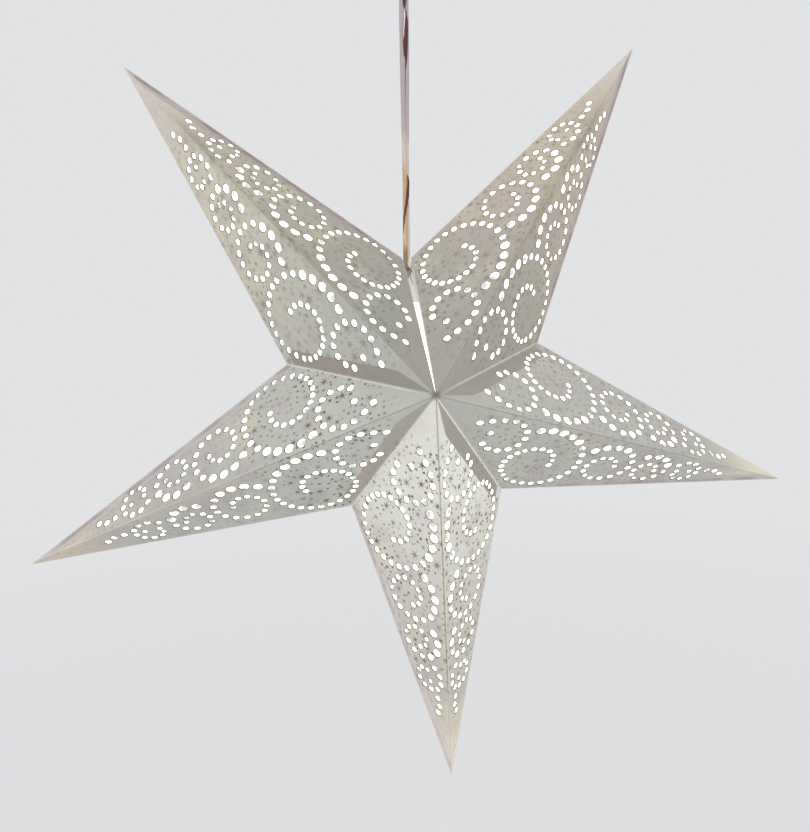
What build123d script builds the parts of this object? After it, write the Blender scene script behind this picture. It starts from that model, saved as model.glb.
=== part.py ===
"""Five-pointed folding paper star lantern on a cord, with its lampholder, lamp and ceiling cup.

The frame is the ceiling: the origin is the middle of the ceiling strap's upper face, +Z is up,
the cord hangs down the Z axis and the star's front faces -Y. Lengths are millimetres, angles
are degrees.
"""
import os
from math import acos, cos, degrees, radians, sin, sqrt

from build123d import *

os.makedirs("parts", exist_ok=True)

# Paper star
arm_count = 5
tip_radius = 300.0  # star centre to each tip
notch_radius = 97.5  # star centre to each notch between two arms
apex_height = 84.0  # mid plane to the front and the rear apex
slit_angle = 3.2  # wedge left open between the first and the last arm
hang_tilt = 4.4  # the star hangs turned this far counterclockwise
notch_drop = 248.0  # ceiling down to the open notch
paper = 0.4  # one sheet

# Flaps that join the arms, all inside the star
flap_width = 10.5  # along the valley folds, on the panel as drawn
flap_margin = 1.0  # flap edge to the fold beside it
flap_end = 4.0  # flap ends to the ridge
rim_width = 6.5  # strip along each arm's clockwise outer edge
rim_margin = 1.6
closing_start = 13.0  # notch to the closing flap, along the slit
closing_length = 33.0
closing_overlap = 2.6  # past each side of the slit
fold_gap = 0.05  # closing flap to the sheets that it closes

# Tie string round the cord, through a hole in each sheet beside the slit
string_radius = 0.5
string_loop_radius = 8.5
string_depth = 6.0  # notch down to the loop
string_hole_radius = 1.3
knot_radius = 1.5
knot_length = 3.0

# Cord
cord_radius = 3.2
cord_top = 10.0  # ceiling down to the cord's cut end
cord_passage = 0.5  # cord to the paper corners that it passes

# Lampholder, hung on the cord inside the star
grip_depth = 6.5  # notch down to the top of the cord grip
grip_radius = 4.8
grip_height = 7.0
grip_floor = 1.5
wire_hole_radius = 2.0
grip_bore_gap = 0.05
holder_radius = 14.0
holder_wall = 1.7
cap_top_radius = 6.0
cap_side = 10.0  # straight side of the cap below its shoulder
skirt_length = 32.0
spigot_length = 5.0
spigot_wall = 1.4
screw_fit = 0.1  # between parts that screw or plug together
mouth_radius = 8.2
mouth_lip = 2.0
seat_gap = 0.3  # closing flaps to the cap's shoulder
insert_height = 8.0
insert_drop = 2.0  # top of the skirt down to the insert
insert_hole_radius = 1.5
shell_wall = 0.4
shell_flange_radius = 9.0
lamp_thread_gap = 0.3  # lamp base to the socket shell
contact_width = 4.0
contact_length = 8.0
contact_rise = 1.6
contact_gap = 0.3  # lamp tip to the centre contact
terminal_spread = 8.4
terminal_radius = 1.9
terminal_height = 2.2
lead_radius = 0.8

# Lamp
lamp_base_radius = 6.95
lamp_base_length = 16.0
thread_pitch = 2.82
thread_depth = 0.35
lamp_tip_radius = 2.4
lamp_tip_height = 1.3
insulator_height = 3.3
insulator_top_radius = 3.5
collar_height = 15.5
collar_radius = 13.0
globe_radius = 22.5
globe_wall = 1.0
board_radius = 10.5
board_height = 1.2

# Ceiling strap, clamp and terminal block
strap_length = 64.0
strap_width = 15.0
strap_thickness = 1.6
slot_spacing = 48.0
slot_radius = 2.2
slot_length = 8.0
tongue_length = 24.0
tongue_width = 18.0
clamp_height = 8.0
clamp_drop = 12.5  # ceiling down to the clamp
clamp_thickness = 6.6
clamp_bite = 0.6  # clamp's flat to the tongue
clamp_screw_spread = 12.4
clamp_screw_radius = 1.5
clamp_head_radius = 2.6
clamp_head_height = 1.6
block_length = 17.0
block_width = 18.0
block_height = 12.0
block_start = 11.0  # cord axis to the block's inlet face
block_bore_radius = 1.7
block_pitch = 8.0
block_screw_radius = 1.6

# Canopy cup over the strap
cup_radius = 42.0
cup_height = 36.0
cup_wall = 2.0
cup_edge = 9.0
bush_radius = 5.0
bush_flange_radius = 8.0
bush_flange = 2.0
bush_length = 15.0
cord_run_gap = 0.3  # cord to the bush that slides on it
nut_radius = 9.0
nut_height = 5.0
nut_ribs = 24
nut_rib_radius = 0.6
grub_radius = 1.5
grub_length = 4.0
grub_slot = 0.8

# The panel as it is drawn: its corners are the apex, the tip and the notch, in millimetres along
# the ridge from the apex and across from it. What is drawn on it moves with its real corners.
drawn_tip = (311.538, 0.0)
drawn_notch = (98.914, 82.331)

# Punched scrolls of the drawn panel. Each scroll is a start point, a heading, the first hole's
# diameter and its arcs, each one (radius, turn, holes, hole diameter). The holes stand at even
# steps along each arc.
near_scroll = ((39.9, 15.2), 324, 4.7, ((68.4, 14, 2, 4.7), (17.9, 128, 5, 4.6), (14.8, 119, 4, 4.8)))
great_scroll = (
    (114.6, 43.0),
    276,
    4.3,
    (
        (14.3, -105, 4, 4.2),
        (20.9, -134, 8, 4.3),
        (29.2, -145, 10, 4.5),
        (37.4, -27, 2, 4.8),
        (37.4, -68, 5, 6.4),
    ),
)
middle_scroll = (
    (164.0, 28.4),
    255,
    3.9,
    (
        (9.9, -110, 3, 3.9),
        (13.6, -146, 5, 4.0),
        (19.1, -117, 5, 4.4),
        (21.8, -23, 1, 4.9),
        (21.8, -93, 4, 6.2),
    ),
)
small_scroll = (
    (198.8, 23.9),
    263,
    3.7,
    ((7.3, -103, 2, 3.7), (9.7, -153, 4, 3.9), (13.7, -99, 3, 4.3), (15.6, -128, 4, 5.9)),
)
least_scroll = ((217.1, 18.5), 109, 3.6, ((6.4, -97, 2, 3.7), (10.2, -146, 4, 3.9), (11.9, -104, 3, 4.2)))
tail_scroll = ((239.8, 9.9), 336, 4.2, ((16.0, 52, 2, 4.2),))
near_eye = ((52.4, 22.8), 0, 4.6, ())
least_eye = ((227.0, 15.5), 0, 3.5, ())
scrolls = (
    near_scroll,
    great_scroll,
    middle_scroll,
    small_scroll,
    least_scroll,
    tail_scroll,
    near_eye,
    least_eye,
)


def write(piece, name):
    piece.part.label = name
    export_step(piece.part, f"parts/{name}.step")


def ray(angle):
    """Unit vector in the star's plane, counterclockwise from +X as seen from the front."""
    return Vector(cos(radians(angle)), 0, sin(radians(angle)))


def turned(points, name):
    """Write one solid of revolution about the cord's axis, from (radius, height) points."""
    with BuildPart() as piece:
        with BuildSketch(Plane.XZ):
            with BuildLine():
                Polyline(*points, close=True)
            make_face()
        revolve(axis=Axis.Z)
    write(piece, name)


# Star frame
arm_angle = (360 - slit_angle) / arm_count
open_notch = 90 + hang_tilt
star_centre = Vector(0, 0, -notch_drop) - ray(open_notch) * notch_radius
front_apex = star_centre + Vector(0, -apex_height, 0)
rear_apex = star_centre + Vector(0, apex_height, 0)


def tip_angle(arm):
    return open_notch - slit_angle / 2 - arm_angle * (arm + 0.5)


def panel_plane(arm, face, side):
    """The plane of a panel's outer face: origin at the apex, x along the ridge, y to the notch."""
    apex = front_apex if face == "front" else rear_apex
    turn = arm_angle / 2 if side == "left" else -arm_angle / 2
    along = star_centre + ray(tip_angle(arm)) * tip_radius - apex
    across = star_centre + ray(tip_angle(arm) + turn) * notch_radius - apex
    return Plane(origin=apex, x_dir=along, z_dir=along.cross(across))


# One panel, in its own plane. The outer face is at z = 0 and the paper lies below it. Each fold
# is mitred, so the inner face is the triangle where the inner planes of two panels meet.
apex = Vector(0, -apex_height, 0)
tip = ray(0) * tip_radius
notch = ray(arm_angle / 2) * notch_radius
master_plane = Plane(origin=apex, x_dir=tip - apex, z_dir=(tip - apex).cross(notch - apex))
outward = master_plane.z_dir
inner_apex = apex + Vector(0, paper / abs(outward.Y), 0)
inner_tip = tip - ray(0) * (paper / outward.dot(ray(0)))
inner_notch = notch - ray(arm_angle / 2) * (paper / outward.dot(ray(arm_angle / 2)))


def flat(point):
    local = master_plane.to_local_coords(point)
    return (local.X, local.Y)


ridge_length = (tip - apex).length
valley_length = (notch - apex).length
notch_point = Vector(*flat(notch))
hole_scale = min(ridge_length / drawn_tip[0], notch_point.Y / drawn_notch[1])

# The drawn panel's three edges, each a point on it and its normal into the panel
ridge_edge = (Vector(0, 0), Vector(0, 1))
valley_edge = (Vector(0, 0), Vector(drawn_notch[1], -drawn_notch[0]).normalized())
outer_run = Vector(*drawn_notch) - Vector(*drawn_tip)
outer_edge = (Vector(*drawn_tip), Vector(-outer_run.Y, outer_run.X).normalized())


def fitted(point):
    """A drawn point's place on the real panel."""
    share = point[1] / drawn_notch[1]
    along = (point[0] - share * drawn_notch[0]) / drawn_tip[0]
    return (along * ridge_length + share * notch_point.X, share * notch_point.Y)


def meeting(first, first_inset, second, second_inset):
    """The point that lies the given insets inside two of the drawn panel's edges."""
    a = first[1]
    b = second[1]
    reach_a = a.dot(first[0]) + first_inset
    reach_b = b.dot(second[0]) + second_inset
    turn = a.X * b.Y - a.Y * b.X
    return ((reach_a * b.Y - reach_b * a.Y) / turn, (reach_b * a.X - reach_a * b.X) / turn)


def scroll_holes(start, heading, first_diameter, arcs):
    """Hole centres and diameters along a chain of tangent arcs."""
    holes = [(start, first_diameter)]
    point = Vector(*start)
    for radius, turn, count, diameter in arcs:
        side = 1 if turn > 0 else -1
        normal = Vector(-sin(radians(heading)), cos(radians(heading))) * side
        centre = point + normal * radius
        for step in range(1, count + 1):
            spoke = (normal * -radius).rotate(Axis.Z, turn * step / count)
            holes.append(((centre.X + spoke.X, centre.Y + spoke.Y), diameter))
        point = Vector(*holes[-1][0])
        heading += turn
    return holes


drawn_holes = [hole for scroll in scrolls for hole in scroll_holes(*scroll)]
all_holes = [(fitted(place), size * hole_scale) for place, size in drawn_holes]

with BuildSketch() as punching:
    for diameter in sorted({size for place, size in all_holes}):
        with Locations(*[place for place, size in all_holes if size == diameter]):
            Circle(diameter / 2)

with BuildPart() as panel:
    with BuildSketch():
        with BuildLine():
            Polyline((0, 0), (ridge_length, 0), (notch_point.X, notch_point.Y), close=True)
        make_face()
    with BuildSketch(Plane.XY.offset(-paper)):
        with BuildLine():
            Polyline(flat(inner_apex), flat(inner_tip), flat(inner_notch), close=True)
        make_face()
    loft(ruled=True)
    extrude(punching.sketch, amount=paper, both=True, mode=Mode.SUBTRACT)


def inner_strip(corners):
    """A punched strip of paper glued behind a panel, in the panel's own plane."""
    with BuildPart() as strip:
        with BuildSketch(Plane.XY.offset(-2 * paper)):
            with BuildLine():
                Polyline(*[fitted(corner) for corner in corners], close=True)
            make_face()
        extrude(amount=paper)
        extrude(punching.sketch, amount=3 * paper, both=True, mode=Mode.SUBTRACT)
    return strip.part


flap_top = rim_margin + rim_width + flap_margin
valley_flap = inner_strip(
    (
        meeting(ridge_edge, flap_end, valley_edge, flap_margin),
        meeting(ridge_edge, flap_end, valley_edge, flap_margin + flap_width),
        meeting(outer_edge, flap_top, valley_edge, flap_margin + flap_width),
        meeting(outer_edge, flap_top, valley_edge, flap_margin),
    )
)
rim_flap = inner_strip(
    (
        meeting(ridge_edge, flap_end, outer_edge, rim_margin),
        meeting(ridge_edge, flap_end, outer_edge, rim_margin + rim_width),
        meeting(valley_edge, flap_margin, outer_edge, rim_margin + rim_width),
        meeting(valley_edge, flap_margin, outer_edge, rim_margin),
    )
)


def placed(piece, arm, face, side):
    """A piece drawn in the panel's plane, set in its place on the star."""
    facing_out = (face == "front") == (side == "left")
    shape = piece if facing_out else mirror(piece, about=Plane.XY, mode=Mode.PRIVATE)
    return panel_plane(arm, face, side).location * shape


# The tie string's loop is level, and pierces each sheet beside the slit once
loop_centre = Vector(0, 0, -notch_drop - string_depth)


def string_hole(plane):
    """Where the loop pierces a sheet: out from the cord's axis, on the sheet's side of it."""
    across = Vector(plane.z_dir.X, plane.z_dir.Y).length
    height = plane.z_dir.dot(plane.origin - loop_centre)
    middle = degrees(acos(height / (string_loop_radius * across)))
    facing = Vector(plane.z_dir.X, plane.z_dir.Y).normalized() * string_loop_radius
    spots = [loop_centre + facing.rotate(Axis.Z, turn) for turn in (middle, -middle)]
    return max(spots, key=lambda spot: plane.to_local_coords(spot).dot(valley_edge[1]))


passage_radius = cord_radius + cord_passage
slit_sides = ((0, "left"), (arm_count - 1, "right"))

for arm in range(arm_count):
    for face in ("front", "rear"):
        for side in ("left", "right"):
            beside_slit = (arm, side) in slit_sides
            with BuildPart() as sheet:
                add(placed(panel.part, arm, face, side))
                if beside_slit:
                    with Locations((0, 0, -notch_drop)):
                        Cylinder(passage_radius, 4 * passage_radius, mode=Mode.SUBTRACT)
                    with Locations(string_hole(panel_plane(arm, face, side))):
                        Sphere(string_hole_radius, mode=Mode.SUBTRACT)
            write(sheet, f"arm_{arm + 1}_{face}_{side}")

# Each arm's clockwise valley flap lies behind the next arm's left panel. The last arm has no
# next arm, so its flap is a hem behind its own right panel, at the slit.
for arm in range(arm_count):
    last = arm == arm_count - 1
    with BuildPart() as flap:
        for face in ("front", "rear"):
            if last:
                add(placed(valley_flap, arm, face, "right"))
                with Locations(string_hole(panel_plane(arm, face, "right"))):
                    Sphere(string_hole_radius, mode=Mode.SUBTRACT)
            else:
                add(placed(valley_flap, arm + 1, face, "left"))
    write(flap, f"valley_flap_{arm + 1}")
    with BuildPart() as rim:
        add(placed(rim_flap, arm, "front", "right"))
    write(rim, f"rim_flap_{arm + 1}")

# Closing flaps bridge the slit's upper end from behind, front and rear, just below the inner
# corners of the sheets beside it
slit_across = ray(open_notch - 90)
corner_depth = (notch - inner_notch).length * apex_height / valley_length
for face in ("front", "rear"):
    outer_apex = front_apex if face == "front" else rear_apex
    slit_top = Vector(0, 0, -notch_drop)
    down = (outer_apex - slit_top).normalized()
    inward = down.cross(slit_across)
    if inward.Y * outer_apex.Y > 0:
        inward = inward * -1
    closing_plane = Plane(
        origin=slit_top + inward * (corner_depth + fold_gap), x_dir=down, z_dir=inward
    )
    gaps = [
        (valley_length - run) / valley_length * notch_radius * radians(slit_angle) / 2
        for run in (closing_start, closing_start + closing_length)
    ]
    with BuildPart() as closing:
        with BuildSketch(closing_plane):
            with BuildLine():
                Polyline(
                    (closing_start, gaps[0] + closing_overlap),
                    (closing_start + closing_length, gaps[1] + closing_overlap),
                    (closing_start + closing_length, -gaps[1] - closing_overlap),
                    (closing_start, -gaps[0] - closing_overlap),
                    close=True,
                )
            make_face()
        extrude(amount=paper)
    write(closing, f"closing_flap_{face}")

with BuildPart() as tie_string:
    with Locations(loop_centre):
        Torus(string_loop_radius, string_radius)
    with Locations(loop_centre + Vector(0, -string_loop_radius, 0)):
        Cylinder(knot_radius, knot_length, rotation=(0, 90, 0))
write(tie_string, "tie_string")

# Lampholder. Its cap is a cone that the two closing flaps rest against, so its shoulder stands
# as deep below the notch as the flaps are spread there.
grip_top = -notch_drop - grip_depth
grip_bottom = grip_top - grip_height
cord_end = grip_bottom + grip_floor
bore = cord_radius + grip_bore_gap
turned(
    (
        (wire_hole_radius, grip_bottom),
        (grip_radius, grip_bottom),
        (grip_radius, grip_top),
        (bore, grip_top),
        (bore, cord_end),
        (wire_hole_radius, cord_end),
    ),
    "cord_grip",
)

with BuildPart() as cord:
    with BuildSketch(Plane.XY.offset(cord_end)):
        Circle(cord_radius)
    extrude(amount=-cord_top - cord_end)
write(cord, "cord")

spread = apex_height / (notch_radius * cos(radians(hang_tilt)))
flap_room = (corner_depth + fold_gap + paper) * valley_length / notch_radius
shoulder_depth = (holder_radius + flap_room + seat_gap) / spread
shoulder = -notch_drop - shoulder_depth
cap_bottom = shoulder - cap_side
inner_radius = holder_radius - holder_wall
turned(
    (
        (wire_hole_radius, grip_bottom),
        (cap_top_radius, grip_bottom),
        (holder_radius, shoulder),
        (holder_radius, cap_bottom),
        (inner_radius, cap_bottom),
        (inner_radius, shoulder - holder_wall),
        (cap_top_radius - holder_wall, grip_bottom - holder_wall),
        (wire_hole_radius, grip_bottom - holder_wall),
    ),
    "holder_cap",
)

skirt_bottom = cap_bottom - skirt_length
spigot_radius = inner_radius - screw_fit
turned(
    (
        (spigot_radius - spigot_wall, cap_bottom + spigot_length),
        (spigot_radius, cap_bottom + spigot_length),
        (spigot_radius, cap_bottom),
        (holder_radius, cap_bottom),
        (holder_radius, skirt_bottom),
        (mouth_radius, skirt_bottom),
        (mouth_radius, skirt_bottom + mouth_lip),
        (inner_radius, skirt_bottom + mouth_lip),
        (inner_radius, cap_bottom - insert_drop),
        (spigot_radius - spigot_wall, cap_bottom - insert_drop),
    ),
    "holder_skirt",
)

insert_top = cap_bottom - insert_drop
insert_bottom = insert_top - insert_height
with BuildPart() as insert:
    with BuildSketch(Plane.XY.offset(insert_top)):
        Circle(inner_radius - screw_fit)
        with GridLocations(terminal_spread, 0, 2, 1):
            Circle(insert_hole_radius, mode=Mode.SUBTRACT)
    extrude(amount=-insert_height)
write(insert, "socket_insert")

shell_bore = lamp_base_radius + lamp_thread_gap
shell_bottom = skirt_bottom + mouth_lip
turned(
    (
        (shell_bore, shell_bottom),
        (shell_bore + shell_wall, shell_bottom),
        (shell_bore + shell_wall, insert_bottom - shell_wall),
        (shell_flange_radius, insert_bottom - shell_wall),
        (shell_flange_radius, insert_bottom),
        (shell_bore, insert_bottom),
    ),
    "socket_shell",
)

with BuildPart() as contact:
    with BuildSketch(Plane.XZ):
        with BuildLine() as spring_line:
            ThreePointArc(
                (-contact_length / 2, insert_bottom),
                (0, insert_bottom - contact_rise),
                (contact_length / 2, insert_bottom),
            )
            ThreePointArc(
                (contact_length / 2, insert_bottom),
                (0, insert_bottom - contact_rise + shell_wall),
                (-contact_length / 2, insert_bottom),
            )
        make_face()
    extrude(amount=contact_width / 2, both=True)
write(contact, "centre_contact")

with BuildPart() as terminals:
    for side in (-1, 1):
        with BuildSketch(Plane.XY.offset(insert_top)):
            with Locations((side * terminal_spread / 2, 0)):
                Circle(terminal_radius)
        extrude(amount=terminal_height)
write(terminals, "holder_terminals")

with BuildPart() as holder_leads:
    for side in (-1, 1):
        with BuildLine():
            start = (side * (wire_hole_radius - lead_radius - screw_fit), 0, cord_end)
            knee = (start[0], 0, grip_bottom - holder_wall)
            bend = (side * terminal_spread / 2, 0, insert_top + terminal_height + 2 * lead_radius)
            end = (side * terminal_spread / 2, 0, insert_top + terminal_height)
            lead_line = Polyline(start, knee, bend, end)
        with BuildSketch(Plane(origin=start, z_dir=(0, 0, -1))):
            Circle(lead_radius)
        sweep(path=lead_line, transition=Transition.RIGHT)
write(holder_leads, "holder_leads")

# Lamp: a small screw-base globe
tip_top = insert_bottom - contact_rise - contact_gap
tip_bottom = tip_top - lamp_tip_height
insulator_bottom = tip_bottom - insulator_height
base_bottom = insulator_bottom - lamp_base_length
collar_bottom = base_bottom - collar_height
root_radius = lamp_base_radius - thread_depth
turned(
    ((0, tip_bottom), (lamp_tip_radius, tip_bottom), (lamp_tip_radius - 0.6, tip_top), (0, tip_top)),
    "lamp_tip",
)
turned(
    (
        (0, insulator_bottom),
        (root_radius, insulator_bottom),
        (insulator_top_radius, tip_bottom),
        (0, tip_bottom),
    ),
    "lamp_insulator",
)
turns = int(lamp_base_length / thread_pitch)
thread_line = []
for turn in range(turns):
    level = insulator_bottom - turn * thread_pitch
    thread_line.append((root_radius, level))
    thread_line.append((lamp_base_radius, level - thread_pitch / 2))
turned(
    ((0, insulator_bottom), *thread_line, (root_radius, base_bottom), (0, base_bottom)),
    "lamp_base",
)
globe_drop = sqrt(globe_radius**2 - collar_radius**2)
globe_centre = collar_bottom - globe_drop
turned(
    (
        (0, collar_bottom),
        (collar_radius, collar_bottom),
        (shell_bore, base_bottom),
        (0, base_bottom),
    ),
    "lamp_collar",
)
turned(
    (
        (0, collar_bottom - board_height),
        (board_radius, collar_bottom - board_height),
        (board_radius, collar_bottom),
        (0, collar_bottom),
    ),
    "lamp_board",
)
with BuildPart() as globe:
    with Locations((0, 0, globe_centre)):
        Sphere(globe_radius)
        Sphere(globe_radius - globe_wall, mode=Mode.SUBTRACT)
    split(bisect_by=Plane.XY.offset(collar_bottom), keep=Keep.BOTTOM)
write(globe, "lamp_globe")

# Ceiling strap with its tongue, which the cord is clamped to
tongue_face = -cord_radius
with BuildPart() as strap:
    with BuildSketch():
        Rectangle(strap_length, strap_width)
        with GridLocations(slot_spacing, 0, 2, 1):
            SlotOverall(slot_length, 2 * slot_radius, mode=Mode.SUBTRACT)
    extrude(amount=-strap_thickness)
    with BuildSketch(Plane.YZ.offset(tongue_face)):
        with Locations((0, -tongue_length / 2)):
            Rectangle(tongue_width, tongue_length)
    extrude(amount=-strap_thickness)
write(strap, "ceiling_strap")

clamp_middle = -clamp_drop - clamp_height / 2
with BuildPart() as clamp:
    with BuildSketch(Plane.YZ.offset(tongue_face + clamp_bite)):
        with Locations((0, clamp_middle)):
            Rectangle(tongue_width, clamp_height)
            with GridLocations(clamp_screw_spread, 0, 2, 1):
                Circle(clamp_screw_radius, mode=Mode.SUBTRACT)
    extrude(amount=clamp_thickness)
    with BuildSketch(Plane.XY.offset(-clamp_drop)):
        Circle(cord_radius)
    extrude(amount=-clamp_height, mode=Mode.SUBTRACT)
write(clamp, "cord_clamp")

with BuildPart() as clamp_screws:
    for side in (-1, 1):
        with BuildSketch(Plane.YZ.offset(tongue_face)):
            with Locations((side * clamp_screw_spread / 2, clamp_middle)):
                Circle(clamp_screw_radius)
        extrude(amount=clamp_bite + clamp_thickness)
        with BuildSketch(Plane.YZ.offset(tongue_face + clamp_bite + clamp_thickness)):
            with Locations((side * clamp_screw_spread / 2, clamp_middle)):
                Circle(clamp_head_radius)
        extrude(amount=clamp_head_height)
write(clamp_screws, "clamp_screws")

block_middle = -strap_thickness - block_height / 2
with BuildPart() as block:
    with BuildSketch(Plane.YZ.offset(block_start)):
        with Locations((0, block_middle)):
            Rectangle(block_width, block_height)
            with GridLocations(block_pitch, 0, 2, 1):
                Circle(block_bore_radius, mode=Mode.SUBTRACT)
    extrude(amount=block_length)
    with BuildSketch(Plane.XY.offset(-strap_thickness - block_height)):
        with Locations((block_start + block_length / 2, 0)):
            with GridLocations(block_length / 2, block_pitch, 2, 2):
                Circle(block_screw_radius)
    extrude(amount=block_height / 2, mode=Mode.SUBTRACT)
write(block, "terminal_block")

with BuildPart() as block_screws:
    with BuildSketch(Plane.XY.offset(-strap_thickness - block_height)):
        with Locations((block_start + block_length / 2, 0)):
            with GridLocations(block_length / 2, block_pitch, 2, 2):
                Circle(block_screw_radius - screw_fit)
    extrude(amount=block_height / 2 - block_bore_radius)
write(block_screws, "terminal_screws")

with BuildPart() as leads:
    for side in (-1, 1):
        with BuildLine():
            lead_start = (0, side * (cord_radius / 2), -cord_top)
            lead_knee = (0, side * (cord_radius / 2), block_middle)
            lead_turn = (block_start / 2, side * block_pitch / 2, block_middle)
            lead_end = (block_start + block_length / 2, side * block_pitch / 2, block_middle)
            lead_run = Polyline(lead_start, lead_knee, lead_turn, lead_end)
        with BuildSketch(Plane(origin=lead_start, z_dir=(0, 0, 1))):
            Circle(lead_radius)
        sweep(path=lead_run, transition=Transition.RIGHT)
write(leads, "ceiling_leads")

# Canopy cup, which slides on the cord by its bush
with BuildPart() as cup:
    with BuildSketch(Plane.XZ):
        with BuildLine():
            Polyline(
                (bush_radius, -cup_height),
                (cup_radius - cup_edge, -cup_height),
                (cup_radius, -cup_height + cup_edge),
                (cup_radius, 0),
                (cup_radius - cup_wall, 0),
                (cup_radius - cup_wall, -cup_height + cup_edge),
                (cup_radius - cup_edge, -cup_height + cup_wall),
                (bush_radius, -cup_height + cup_wall),
                close=True,
            )
        make_face()
    revolve(axis=Axis.Z)
write(cup, "canopy_cup")

bush_bore = cord_radius + cord_run_gap
flange_top = -cup_height + cup_wall + bush_flange
grub_height = flange_top - bush_length + 2 * grub_radius
with BuildPart() as bush:
    with BuildSketch(Plane.XY.offset(flange_top)):
        Circle(bush_flange_radius)
    extrude(amount=-bush_flange)
    with BuildSketch(Plane.XY.offset(flange_top)):
        Circle(bush_radius)
    extrude(amount=-bush_length)
    with BuildSketch(Plane.XY.offset(flange_top)):
        Circle(bush_bore)
    extrude(amount=-bush_length, mode=Mode.SUBTRACT)
    with BuildSketch(Plane.XZ):
        with Locations((0, grub_height)):
            Circle(grub_radius)
    extrude(amount=bush_radius, mode=Mode.SUBTRACT)
write(bush, "canopy_bush")

with BuildPart() as grub:
    with BuildSketch(Plane.XZ.offset(bush_bore)):
        with Locations((0, grub_height)):
            Circle(grub_radius)
    extrude(amount=grub_length)
    with BuildSketch(Plane.XZ.offset(bush_bore + grub_length)):
        with Locations((0, grub_height)):
            Rectangle(grub_slot, 2 * grub_radius)
    extrude(amount=-grub_slot, mode=Mode.SUBTRACT)
write(grub, "canopy_grub_screw")

with BuildPart() as nut:
    with BuildSketch(Plane.XY.offset(-cup_height)):
        Circle(nut_radius)
        with PolarLocations(nut_radius, nut_ribs):
            Circle(nut_rib_radius, mode=Mode.SUBTRACT)
        Circle(bush_radius, mode=Mode.SUBTRACT)
    extrude(amount=-nut_height)
write(nut, "canopy_nut")
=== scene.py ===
import math

import bpy
from mathutils import Matrix, Vector


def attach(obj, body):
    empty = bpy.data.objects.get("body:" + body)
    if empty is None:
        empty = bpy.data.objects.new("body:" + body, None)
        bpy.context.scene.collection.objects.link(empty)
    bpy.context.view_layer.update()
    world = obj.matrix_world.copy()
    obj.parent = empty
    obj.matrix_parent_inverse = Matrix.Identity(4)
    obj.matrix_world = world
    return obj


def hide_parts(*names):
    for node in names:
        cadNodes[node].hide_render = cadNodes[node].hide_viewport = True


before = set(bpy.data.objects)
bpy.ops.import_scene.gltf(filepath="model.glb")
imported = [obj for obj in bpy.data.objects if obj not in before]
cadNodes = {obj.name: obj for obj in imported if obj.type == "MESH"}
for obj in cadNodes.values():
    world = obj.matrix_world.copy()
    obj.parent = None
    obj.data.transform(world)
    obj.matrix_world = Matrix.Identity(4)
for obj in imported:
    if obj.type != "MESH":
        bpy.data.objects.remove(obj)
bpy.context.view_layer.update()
bpy.ops.object.select_all(action="DESELECT")
print("frame:", len(cadNodes), "nodes")

# Metres in a millimetre, and millimetres in a metre
mm = 0.001
perMetre = 1000

# The star's own size and planes, in metres and degrees
star = {
    "arms": 5,
    "tipRadius": 0.300,
    "notchRadius": 0.0975,
    "apexHeight": 0.084,
    "slitAngle": 3.2,
    "hangTilt": 4.4,
    "notchDrop": 0.248,
}
armAngle = (360 - star["slitAngle"]) / star["arms"]
openNotch = 90 + star["hangTilt"]


def ray(angle):
    return Vector((math.cos(math.radians(angle)), 0, math.sin(math.radians(angle))))


def tipAngle(arm):
    return openNotch - star["slitAngle"] / 2 - armAngle * (arm - 0.5)


notchPoint = Vector((0, 0, -star["notchDrop"]))
starCentre = notchPoint - ray(openNotch) * star["notchRadius"]


def panelAxes(arm, face, side):
    # a panel's corner at the apex, its ridge, its way across to the notch, and its outward way
    lift = -star["apexHeight"] if face == "front" else star["apexHeight"]
    apex = starCentre + Vector((0, lift, 0))
    turn = armAngle / 2 if side == "left" else -armAngle / 2
    along = starCentre + ray(tipAngle(arm)) * star["tipRadius"] - apex
    notch = starCentre + ray(tipAngle(arm) + turn) * star["notchRadius"] - apex
    xAxis = along.normalized()
    yAxis = (notch - xAxis * notch.dot(xAxis)).normalized()
    outward = xAxis.cross(yAxis)
    return apex, xAxis, yAxis, outward if outward.y * lift > 0 else -outward


# Camera, as the photograph was taken: from a little right of the star and a little above it.
# Angles are in degrees, places in tip radii, the lens in millimetres and the rest in metres
photoView = {
    "yaw": 6.12,
    "pitch": 3.96,
    "roll": -0.67,
    "aside": 0.0326,
    "down": 0.0595,
    "away": 1.479,
    "lens": 25.96,
    "sensor": 36,
    "nearest": 0.01,
}


def makeCamera():
    turn = Matrix.Rotation(math.radians(photoView["yaw"]), 3, "Z")
    tip = Matrix.Rotation(math.radians(photoView["pitch"]), 3, "X")
    lean = Matrix.Rotation(math.radians(photoView["roll"]), 3, "Y")
    back = (lean @ tip @ turn).transposed()
    offset = Vector((photoView["aside"], photoView["away"], photoView["down"])) * star["tipRadius"]
    bpy.ops.object.camera_add()
    camera = bpy.context.object
    right, ahead, up = back @ Vector((1, 0, 0)), back @ Vector((0, 1, 0)), back @ Vector((0, 0, 1))
    place = Matrix((right, up, -ahead)).transposed().to_4x4()
    place.translation = starCentre - back @ offset
    camera.matrix_world = place
    camera.data.lens = photoView["lens"]
    camera.data.sensor_width = photoView["sensor"]
    camera.data.clip_start = photoView["nearest"]
    bpy.context.scene.camera = camera


makeCamera()
print("camera: placed")

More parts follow.
